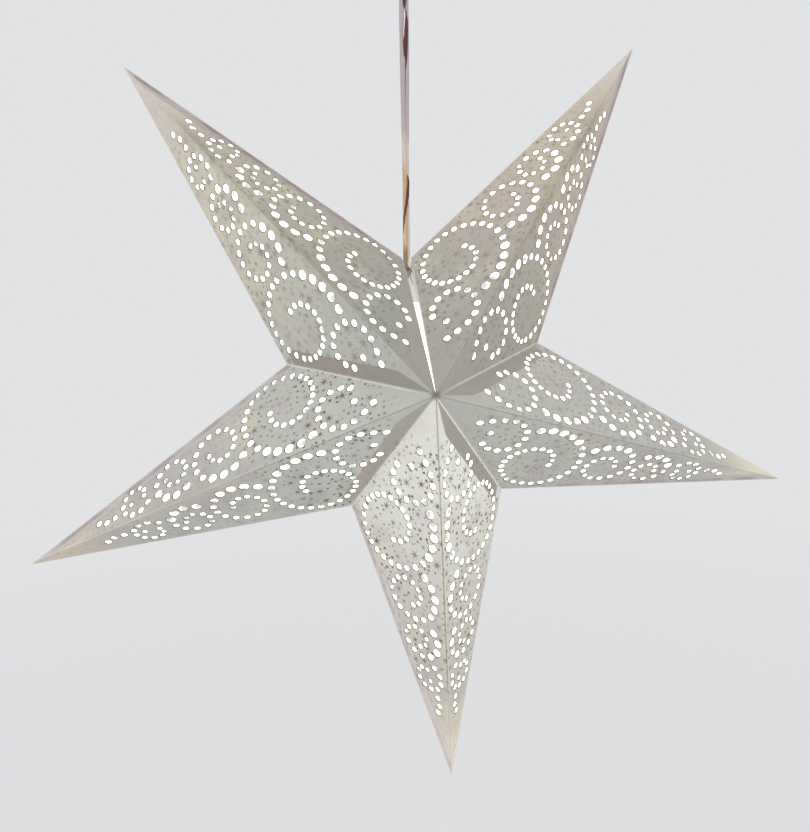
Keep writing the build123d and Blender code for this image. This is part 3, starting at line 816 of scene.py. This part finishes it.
def modelRing():
    # one low ring, from 1 to 2 across, that is stretched to each hole
    crest = holeShadeLook["ringCrest"]
    bpy.ops.mesh.primitive_circle_add(vertices=holeShadeLook["ringSides"], radius=1)
    ring = bpy.context.object
    bpy.ops.object.mode_set(mode="EDIT")
    bpy.ops.mesh.select_all(action="SELECT")
    bpy.ops.mesh.extrude_edges_move(TRANSFORM_OT_translate={"value": (0, 0, 1)})
    bpy.ops.transform.resize(value=(crest, crest, 1))
    bpy.ops.mesh.extrude_edges_move(TRANSFORM_OT_translate={"value": (0, 0, -1)})
    bpy.ops.transform.resize(value=(2 / crest, 2 / crest, 1))
    bpy.ops.object.mode_set(mode="OBJECT")
    points = [vertex.co.copy() for vertex in ring.data.vertices]
    faces = [tuple(face.vertices) for face in ring.data.polygons]
    bpy.data.objects.remove(ring)
    return points, faces


def holeShadeRings(arm, face, side, ring):
    apex, xAxis, yAxis, outward = panelAxes(arm, face, side)
    shadeWay = Vector(holeShadeLook["shadeSide"])
    shadeAngle = math.atan2(shadeWay.dot(yAxis), shadeWay.dot(xAxis))
    points, faces = [], []
    for x, y, radius in holePlaces():
        first = len(points)
        for point in ring[0]:
            angle = math.atan2(point.y, point.x)
            lean = max(0.0, math.cos(angle - shadeAngle)) ** holeShadeLook["shadeFall"]
            width = holeShadeLook["ringWidth"] + holeShadeLook["ringShadeWidth"] * lean
            reach = radius + (point.xy.length - 1) * width
            flat = xAxis * (x + reach * math.cos(angle)) + yAxis * (y + reach * math.sin(angle))
            points.append(apex + (flat + outward * point.z * holeShadeLook["ringHeight"]) * mm)
        faces += [tuple(first + corner for corner in around) for around in ring[1]]
    mesh = bpy.data.meshes.new(f"rims_{arm}_{face}_{side}")
    mesh.from_pydata(points, [], faces)
    shadeRings = bpy.data.objects.new(mesh.name, mesh)
    bpy.context.scene.collection.objects.link(shadeRings)
    return shadeRings


def holeShadeMaterial(name, look):
    material, shader, point = newMaterial(name, roughness=0.9, Specular_IOR_Level=0.2)
    point = inMillimetres(point)
    patch = noise(point, holeShadeLook["patchScale"], 2.0)
    speck = noise(point, holeShadeLook["speckScale"], 3.0, 0.6)
    patchShare = product(fade(patch, *holeShadeLook["patchLevels"]), holeShadeLook["patchShare"])
    speckShare = calc("MULTIPLY", speck, holeShadeLook["speckShare"])
    share = calc("ADD", patchShare, speckShare, clamp=True)
    feed(shader.inputs["Base Color"], mixColours(share, tone(look["dark"]), tone(look["pale"])))
    feed(shader.inputs["Normal"], bump(speck, *holeShadeLook["bump"]))
    return material


# rings of painted shade round every hole, darker on the arms in darkerShadeArms
ring = modelRing()
holeShadeDark = holeShadeMaterial("hole_shade_dark", holeShadeLook["darkShade"])
holeShadePale = holeShadeMaterial("hole_shade_pale", holeShadeLook["paleShade"])
for arm in range(1, star["arms"] + 1):
    for face in ("front", "rear"):
        for side in ("left", "right"):
            shadeRings = holeShadeRings(arm, face, side, ring)
            shadeRings.data.materials.append(holeShadeDark if arm in holeShadeLook["darkerShadeArms"] else holeShadePale)
            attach(shadeRings, "star")
print("paper: hole rims added")

# What all the plain finishes share
plainLook = {
    "cloudScale": 60.0,
    "cloudLevels": (0.35, 0.75),
    "dirtTone": 0.86,
    "wander": 0.08,
    "grainDepth": 0.0002,
}


def plainMaterial(name, colour, roughness, metallic=0.0, grain=0.0, grainScale=400.0, dirt=0.12, **sockets):
    material, shader, point = newMaterial(name, roughness, metallic, **sockets)
    cloud = noise(point, plainLook["cloudScale"], 3.0)
    speck = noise(point, grainScale, 3.0, 0.6)
    share = product(fade(cloud, *plainLook["cloudLevels"]), dirt)
    dirty = [level * plainLook["dirtTone"] for level in colour]
    feed(shader.inputs["Base Color"], mixColours(share, tone(colour), tone(dirty)))
    uneven = calc("ADD", swing(speck, plainLook["wander"]), roughness, clamp=True)
    feed(shader.inputs["Roughness"], uneven)
    feed(shader.inputs["Normal"], bump(speck, grain, plainLook["grainDepth"]))
    return material


# The glue flaps, which the lamp lights, and the two closing flaps at the slit, with painted shade in
# the crease, at a corner and at the sides, in millimetres across the slit or down it from the notch
flapLook = {
    "roughness": 0.85,
    "gloss": 0.25,
    "pale": (244, 243, 239),
    "dark": (232, 230, 224),
    "mottle": 0.25,
    "glow": (0.75, 0.1),
}
closingLook = {
    "pale": (226, 224, 218),
    "dark": (206, 203, 196),
    "mottle": 0.3,
    "glow": (0.22, 0.2),
    "creaseShade": {"aside": (0.75, 0.25), "down": (24, 19), "share": 0.75, "colour": (122, 122, 116)},
    "creaseMiddle": 0.2,
    "creaseWander": 0.4,
    "corner": {"slanting": (1.2, 0.4), "colour": (120, 118, 110)},
    "cornerFrom": 13.0,
    "cornerSlant": 0.7,
    "side": {"fromMiddle": (1.1, 1.9), "share": 0.5, "colour": (150, 146, 140)},
}


def flapSheet(name, look):
    material, shader, point = newMaterial(name, flapLook["roughness"], Specular_IOR_Level=flapLook["gloss"])
    mottle = noise(inMillimetres(point), look["mottle"], 3.0)
    fibre = noise(inMillimetres(point), 1.8, 3.0, 0.6)
    shader.inputs["Emission Color"].default_value = tone(paperLook["glowColour"])
    feed(shader.inputs["Normal"], bump(fibre, 0.3, 0.0002))
    colour = mixColours(fade(mottle, 0.35, 0.7), tone(look["pale"]), tone(look["dark"]))
    return material, shader, point, mottle, colour


def flapMaterial():
    material, shader, _, mottle, colour = flapSheet("flap_paper", flapLook)
    feed(shader.inputs["Base Color"], colour)
    least, more = flapLook["glow"]
    feed(shader.inputs["Emission Strength"], calc("MULTIPLY_ADD", mottle, more, least))
    return material


def closingMaterial():
    material, shader, point, mottle, colour = flapSheet("closing_paper", closingLook)
    away = vectorCalc("SUBTRACT", point, tuple(notchPoint))
    rightWay, downWay = ray(openNotch - 90) * perMetre, ray(openNotch) * -perMetre
    across = vectorCalc("DOT_PRODUCT", away, tuple(rightWay), outlet=1)
    down = vectorCalc("DOT_PRODUCT", away, tuple(downWay), outlet=1)
    wander = swing(mottle, closingLook["creaseWander"])
    aside = calc("ADD", calc("SUBTRACT", across, closingLook["creaseMiddle"]), wander)
    below = calc("SUBTRACT", down, closingLook["cornerFrom"])
    at = {
        "down": down,
        "aside": calc("ABSOLUTE", aside),
        "slanting": calc("ADD", across, calc("MULTIPLY", below, closingLook["cornerSlant"])),
        "fromMiddle": calc("ABSOLUTE", across),
    }
    creaseShade = strength(closingLook["creaseShade"], at)
    # painted shade in the crease, at the corner and along the sides
    for kind in ("creaseShade", "corner", "side"):
        colour = addMark(colour, closingLook[kind], at)
    feed(shader.inputs["Base Color"], colour)
    most, atCrease = closingLook["glow"]
    glow = calc("SUBTRACT", most, product(creaseShade, atCrease))
    feed(shader.inputs["Emission Strength"], product(mottle, glow))
    return material


# The right arm's corner is rolled back at the open notch. Each row is a depth below the ceiling,
# the roll's place to the right and to the front, and its thickness, all in millimetres
curlLook = {
    "rows": (
        (249.6, 3.2, 4.6, 0.20),
        (251.4, 2.0, 5.2, 0.75),
        (253.6, 1.4, 5.8, 0.95),
        (255.8, 1.9, 6.4, 0.80),
        (257.6, 3.0, 7.0, 0.20),
    ),
    "step": 0.4,
    "sides": 14,
    "paper": {"colour": (232, 220, 218), "roughness": 0.85, "grain": 0.3, "dirt": 0.2},
}


def makeCurl():
    rows = curlLook["rows"]
    sides = curlLook["sides"]
    turns = [2 * math.pi * side / sides for side in range(sides)]
    rings = []
    for step in range(int((rows[-1][0] - rows[0][0]) / curlLook["step"]) + 1):
        depth, right, front, radius = layAt(rows, rows[0][0] + step * curlLook["step"])
        middle = Vector((right, -front, -depth))
        rings.append([(middle + Vector((math.cos(turn), math.sin(turn), 0)) * radius) * mm for turn in turns])
    curl = tube("corner_curl", rings)
    faceOutwards(curl)
    curl.data.materials.append(plainMaterial("curl_paper", **curlLook["paper"]))
    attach(curl, "star")


makeCurl()

# The tie string: a level loop that sags in front of the cord, where it is knotted. Millimetres,
# and degrees for angles
tieLook = {
    "loopRadius": 8.5,
    "loopDepth": 254.0,
    "stringRadius": 0.32,
    "sag": 3.0,
    "sagHalf": 36.0,
    "stepAngle": 4,
    "knotRadius": 0.60,
    "knotThickness": 0.43,
    "knotLean": 35,
    "tailLength": 3.2,
    "tailSteps": 3,
    "tailOut": 0.4,
    "tailAside": 0.35,
    "tailBack": 0.1,
    "sides": 8,
    "pale": (186, 180, 172),
    "dark": (166, 160, 152),
    "knotShade": (104, 100, 93),
    "knotShadeReach": (0.0026, 0.0010),
    "fibreScale": 2600.0,
    "bump": (0.8, 0.0002),
}


def stringRing(middle, ahead):
    beside = ahead.cross(Vector((0, 0, 1)) if abs(ahead.z) < 0.9 else Vector((1, 0, 0))).normalized()
    above = beside.cross(ahead)
    turns = [2 * math.pi * side / tieLook["sides"] for side in range(tieLook["sides"])]
    return [(middle + (beside * math.cos(turn) + above * math.sin(turn)) * tieLook["stringRadius"]) * mm
        for turn in turns]


def loopPoint(turn):
    # turn is counted from the front, in degrees
    sag = tieLook["sag"] * max(0.0, 1 - (turn / tieLook["sagHalf"]) ** 2) ** 2
    angle = math.radians(turn)
    across, front = math.sin(angle) * tieLook["loopRadius"], math.cos(angle) * tieLook["loopRadius"]
    return Vector((across, -front, -tieLook["loopDepth"] - sag))


def tieTail(knot, side):
    out, aside, back = tieLook["tailOut"], tieLook["tailAside"], tieLook["tailBack"]
    fall = tieLook["tailLength"] / tieLook["tailSteps"]
    path = [knot + Vector((side * (out + aside * step), back * step, -fall * step))
        for step in range(tieLook["tailSteps"] + 1)]
    ahead = Vector((side * 0.3, 0, -1)).normalized()
    return tube("tie_tail", [stringRing(point, ahead) for point in path])


def makeTie():
    loop = [loopPoint(turn) for turn in range(-180, 181, tieLook["stepAngle"])]
    rings = [stringRing(point, (after - before).normalized())
        for before, point, after in zip(loop[-2:-1] + loop[:-1], loop, loop[1:] + loop[1:2])]
    knot = loopPoint(0)
    parts = [tube("tie_loop", rings), tieTail(knot, -1), tieTail(knot, 1)]
    for lean in (tieLook["knotLean"], -tieLook["knotLean"]):
        bpy.ops.mesh.primitive_torus_add(major_segments=18, minor_segments=8, location=knot * mm,
            rotation=(math.radians(lean), math.radians(90), 0), major_radius=tieLook["knotRadius"] * mm,
            minor_radius=tieLook["knotThickness"] * mm)
        bpy.ops.object.transform_apply(location=True, rotation=True, scale=True)
        parts.append(bpy.context.object)
    bpy.ops.object.select_all(action="DESELECT")
    for part in parts:
        part.select_set(True)
    bpy.context.view_layer.objects.active = parts[0]
    bpy.ops.object.join()
    tie = bpy.context.object
    tie.name = "tie_thread"
    bpy.ops.object.select_all(action="DESELECT")
    faceOutwards(tie)
    return tie


def cottonMaterial():
    # near the paper's own tone, with painted shade at the knot, which hangs in the notch's shadow
    material, shader, point = newMaterial("tie_cotton", roughness=0.9, Sheen_Weight=0.3)
    fibre = noise(point, tieLook["fibreScale"], 3.0, 0.6)
    away = vectorCalc("DISTANCE", point, tuple(loopPoint(0) * mm), outlet=1)
    colour = mixColours(fade(fibre, 0.35, 0.7), tone(tieLook["pale"]), tone(tieLook["dark"]))
    colour = mixColours(fade(away, *tieLook["knotShadeReach"]), colour, tone(tieLook["knotShade"]))
    feed(shader.inputs["Base Color"], colour)
    feed(shader.inputs["Normal"], bump(fibre, *tieLook["bump"]))
    return material


tie = makeTie()
tie.data.materials.append(cottonMaterial())
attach(tie, "star")
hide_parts("tie_string")
flapPaper = flapMaterial()
closingPaper = closingMaterial()
for arm in range(1, star["arms"] + 1):
    dress(f"valley_flap_{arm}", flapPaper)
for face in ("front", "rear"):
    dress(f"closing_flap_{face}", closingPaper)

# Plain finishes, each with the CAD nodes that have it
finishes = {
    "holder_plastic": ({"colour": (238, 237, 232), "roughness": 0.32, "grain": 0.08},
        ("terminal_block", "holder_cap", "holder_skirt")),
    "cup_plastic": ({"colour": (236, 235, 231), "roughness": 0.42, "grain": 0.10},
        ("cord_clamp", "canopy_cup", "canopy_bush", "canopy_nut")),
    "zinc_steel": ({"colour": (196, 200, 204), "roughness": 0.36, "metallic": 1.0, "grain": 0.25,
        "grainScale": 900.0, "dirt": 0.3}, ("ceiling_strap", "clamp_screws", "canopy_grub_screw")),
    "brass": ({"colour": (214, 180, 104), "roughness": 0.30, "metallic": 1.0, "grain": 0.12, "dirt": 0.3},
        ("terminal_screws", "socket_shell", "centre_contact", "holder_terminals", "lamp_tip")),
    "nickel": ({"colour": (206, 202, 194), "roughness": 0.28, "metallic": 1.0, "grain": 0.10, "dirt": 0.2},
        ("lamp_base",)),
    "ceramic": ({"colour": (240, 236, 224), "roughness": 0.28, "grain": 0.05, "Coat_Weight": 0.3},
        ("socket_insert",)),
    "black_glass": ({"colour": (26, 26, 28), "roughness": 0.15}, ("lamp_insulator",)),
    "lamp_white": ({"colour": (240, 240, 237), "roughness": 0.38, "grain": 0.06}, ("lamp_collar",)),
    "lamp_board": ({"colour": (232, 236, 226), "roughness": 0.45, "grain": 0.12}, ("lamp_board",)),
    "lead_sheath": ({"colour": (226, 220, 222), "roughness": 0.45, "grain": 0.08},
        ("ceiling_leads", "holder_leads")),
    # the cord grip's dark grey-brown is painted shade: it sits in the notch's shadow
    "grip_plastic": ({"colour": (116, 104, 94), "roughness": 0.5, "grain": 0.10}, ("cord_grip",)),
}
opalLook = {
    "pale": (250, 247, 238),
    "dark": (244, 240, 228),
    "light": (255, 250, 236),
    "glow": (2.4, 0.4),
    "cloudScale": 30.0,
}


def opalMaterial():
    material, shader, point = newMaterial("opal", roughness=0.35, Coat_Weight=0.25)
    cloud = noise(point, opalLook["cloudScale"], 2.0)
    colour = mixColours(cloud, tone(opalLook["pale"]), tone(opalLook["dark"]))
    feed(shader.inputs["Base Color"], colour)
    shader.inputs["Emission Color"].default_value = tone(opalLook["light"])
    least, more = opalLook["glow"]
    feed(shader.inputs["Emission Strength"], calc("MULTIPLY_ADD", cloud, more, least))
    return material


for name, (look, nodes) in finishes.items():
    finish = plainMaterial(name, **look)
    for node in nodes:
        dress(node, finish)
dress("lamp_globe", opalMaterial())

# The strands' sheath: lilac-white, then paler, tan and yellow in painted warm light from the lit
# star as it nears it, and in painted shadow in the notch. Levels are depths below the ceiling in
# millimetres, and drift is how far they wander
strandLook = {
    "wide": {"seed": 7.0, "stainAndWarmLight": 0.85},
    "thin": {"seed": 33.0, "stainAndWarmLight": 0.22},
    "pale": (194, 184, 184),
    "dark": (176, 164, 166),
    "drift": 11.0,
    "patchShare": 0.4,
    "paler": {"level": (152, 170), "share": 0.8, "colour": (222, 214, 204)},
    "tan": {"level": (178, 190), "colour": (206, 164, 116)},
    "yellow": {"level": (212, 230), "share": 0.8, "colour": (220, 196, 148)},
    "shadow": {"depth": (236, 246), "right": (1.2, -0.2), "share": 0.7, "colour": (104, 88, 72)},
    "grooveShade": {"colour": (92, 44, 48), "roughness": 0.7, "grain": 0.5, "grainScale": 1500.0, "dirt": 0.4},
}


def strandMaterial(name, seed, stainAndWarmLight):
    material, shader, point = newMaterial(name, roughness=0.6, Specular_IOR_Level=0.35, Sheen_Weight=0.1)
    point = inMillimetres(point)
    right, _, height = separated(point)
    depth = calc("MULTIPLY", height, -1.0)
    shifted = vectorCalc("ADD", point, (seed, seed, 0))

    def spots(stretch, scale, *detail):
        return noise(vectorCalc("MULTIPLY", shifted, stretch), scale, *detail)

    wander = swing(spots((1, 1, 0.25), 0.35, 2.0), strandLook["drift"])
    at = {"depth": depth, "level": calc("ADD", depth, wander), "right": right}
    fibre = spots((3, 3, 0.5), 2.2, 3.0, 0.6)
    patch = fade(spots((1, 1, 0.35), 0.22, 2.0), 0.38, 0.55)
    patchy = calc("MULTIPLY_ADD", patch, strandLook["patchShare"], 1 - strandLook["patchShare"])
    colour = mixColours(fade(fibre, 0.35, 0.7), tone(strandLook["pale"]), tone(strandLook["dark"]))
    # painted light: paler, then tan and yellow where the star's warm light falls; painted shadow in the notch
    colour = addMark(colour, strandLook["paler"], at)
    colour = addMark(colour, strandLook["tan"], at, patchy, stainAndWarmLight)
    colour = addMark(colour, strandLook["yellow"], at, stainAndWarmLight)
    colour = addMark(colour, strandLook["shadow"], at)
    feed(shader.inputs["Base Color"], colour)
    feed(shader.inputs["Normal"], bump(fibre, 0.4, 0.0002))
    return material


wide, thin, grooveShade = cordPieces
wide.data.materials.append(strandMaterial("cord_sheath_wide", **strandLook["wide"]))
thin.data.materials.append(strandMaterial("cord_sheath_thin", **strandLook["thin"]))
# the groove's strand is painted shade, in dark red
grooveShade.data.materials.append(plainMaterial("cord_groove_shade_red", **strandLook["grooveShade"]))
for piece in cordPieces:
    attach(piece, "fixture")
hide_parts("cord")
print("cord: dressed")
print("small parts: dressed")

# Room: a wide pale floor that fades into the pale surroundings, soft light from all round. Metres
room = {
    "floorHeight": -1.45,
    "floorSize": 60.0,
    "floorParts": 12,
    "fadeFrom": 0.8,
    "fadeTo": 5.0,
    "nearShare": 0.84,
    "floorTone": (222, 223, 225),
    "grainChange": -6,
    "grainShare": 0.3,
    "farTone": (226, 227, 229),
    "worldStrength": 0.60,
}


def seenDirectly(tree):
    # 1 where the camera, a reflection or glass looks at it, and 0 where only light does
    path = tree.nodes.new("ShaderNodeLightPath")
    seen = calc("MAXIMUM", path.outputs["Is Camera Ray"], path.outputs["Is Glossy Ray"])
    return calc("MAXIMUM", seen, path.outputs["Is Transmission Ray"])


def makeRoom():
    bpy.ops.mesh.primitive_grid_add(x_subdivisions=room["floorParts"], y_subdivisions=room["floorParts"],
        size=room["floorSize"], location=(0, 0, room["floorHeight"]))
    floor = bpy.context.object
    floor.name = "studio_floor"
    bpy.ops.object.transform_apply(location=True, rotation=True, scale=True)
    material, shader, point = newMaterial("studio_paper", roughness=0.95, Specular_IOR_Level=0.0)
    tree = material.node_tree
    grain = noise(point, 1.2, 3.0)
    feed(shader.inputs["Base Color"], mixColours(product(grain, room["grainShare"]),
        tone(room["floorTone"]), tone(room["floorTone"], room["grainChange"])))
    glow = tree.nodes.new("ShaderNodeEmission")
    glow.inputs["Color"].default_value = tone(room["farTone"])
    away = vectorCalc("LENGTH", vectorCalc("MULTIPLY", point, (1, 1, 0)), outlet=1)
    farther = fade(away, room["fadeFrom"], room["fadeTo"])
    share = product(seenDirectly(tree),
        calc("MULTIPLY_ADD", farther, 1 - room["nearShare"], room["nearShare"]))
    blend = tree.nodes.new("ShaderNodeMixShader")
    feed(blend.inputs[0], share)
    tree.links.new(shader.outputs[0], blend.inputs[1])
    tree.links.new(glow.outputs[0], blend.inputs[2])
    tree.links.new(blend.outputs[0], tree.nodes["Material Output"].inputs["Surface"])
    floor.data.materials.append(material)

    world = bpy.data.worlds.new("studio")
    bpy.context.scene.world = world
    world.use_nodes = True
    tree = world.node_tree
    back = tree.nodes["Background"]
    seen = seenDirectly(tree)
    feed(back.inputs["Color"], mixColours(seen, (1, 1, 1, 1), tone(room["farTone"])))
    strength = room["worldStrength"]
    feed(back.inputs["Strength"], calc("MULTIPLY_ADD", seen, 1 - strength, strength))


# Soft square lamps: places and sizes in metres
lamps = {
    "key": {"place": (-1.1, -1.7, 0.5), "size": 1.4, "watts": 15.0},
    "fill": {"place": (1.5, -1.5, -0.2), "size": 1.4, "watts": 7.0},
    "behind": {"place": (0.6, 1.5, 0.9), "size": 1.2, "watts": 7.0},
}


def makeLamps():
    for name, lamp in lamps.items():
        bpy.ops.object.light_add(type="AREA", location=lamp["place"])
        light = bpy.context.object
        light.name = "light_" + name
        light.data.energy = lamp["watts"]
        light.data.size = lamp["size"]
        aim = starCentre - Vector(lamp["place"])
        light.rotation_euler = aim.to_track_quat("-Z", "Y").to_euler()


makeRoom()
makeLamps()
bpy.context.scene.view_settings.view_transform = "Standard"
print("room: lit")
